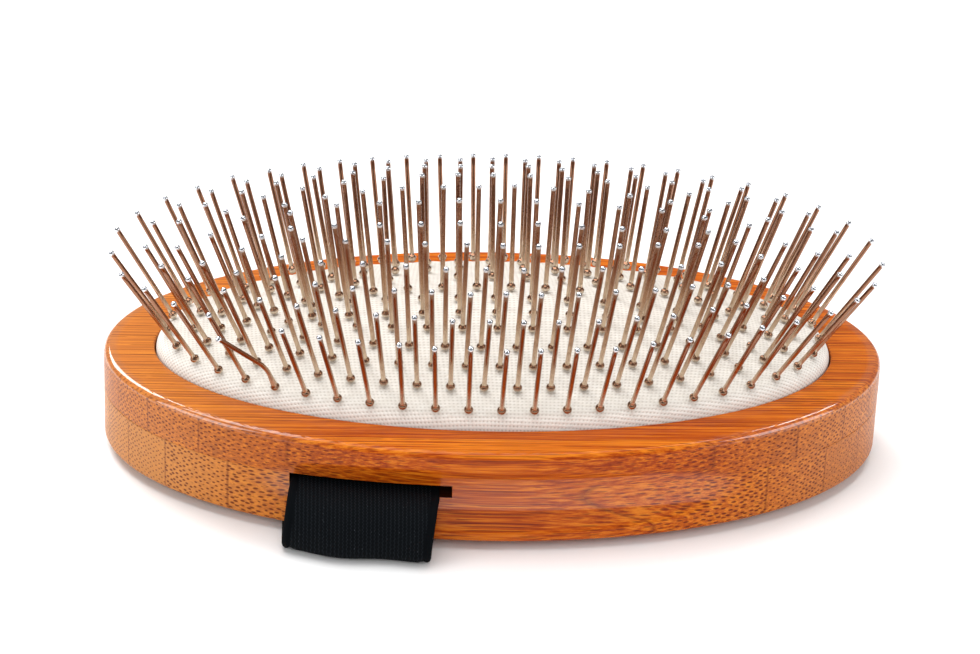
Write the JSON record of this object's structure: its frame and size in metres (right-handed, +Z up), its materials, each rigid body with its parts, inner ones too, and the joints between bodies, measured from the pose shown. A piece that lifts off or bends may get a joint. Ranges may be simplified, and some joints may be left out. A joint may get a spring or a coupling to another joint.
{
  "type": "pin brush",
  "caption": "Oval palm-held grooming brush: two-ply bamboo body, domed cloth-faced cushion, round-tipped steel wire pins and an elastic hand strap.",
  "frame": {"origin": "below the centre of the oval, on the plane that the strap's underside lies on; the flat back of the body is 1.5 mm above it", "axes": "+X along the length of the oval, away from the strap; +Y across it, away from the camera; +Z up, the way the pins stand"},
  "size_m": [0.136, 0.078, 0.0457],
  "materials": {
    "bamboo": "glossy lacquered laminated bamboo",
    "cushion_cloth": "plain-woven off-white cloth over a rubber sheet",
    "webbing": "black ribbed elastic webbing",
    "pin_steel": "bright polished steel wire"
  },
  "bodies": {
    "root": {"body_lower_ply": "bamboo", "body_upper_ply": "bamboo", "cushion": "cushion_cloth", "hand_strap": "webbing", "pins_ring_1": "pin_steel", "pins_ring_2": "pin_steel", "pins_ring_3": "pin_steel", "pins_ring_4": "pin_steel", "pins_ring_5": "pin_steel", "pins_centre_row": "pin_steel", "pin_bent": "pin_steel"}
  },
  "joints": []
}
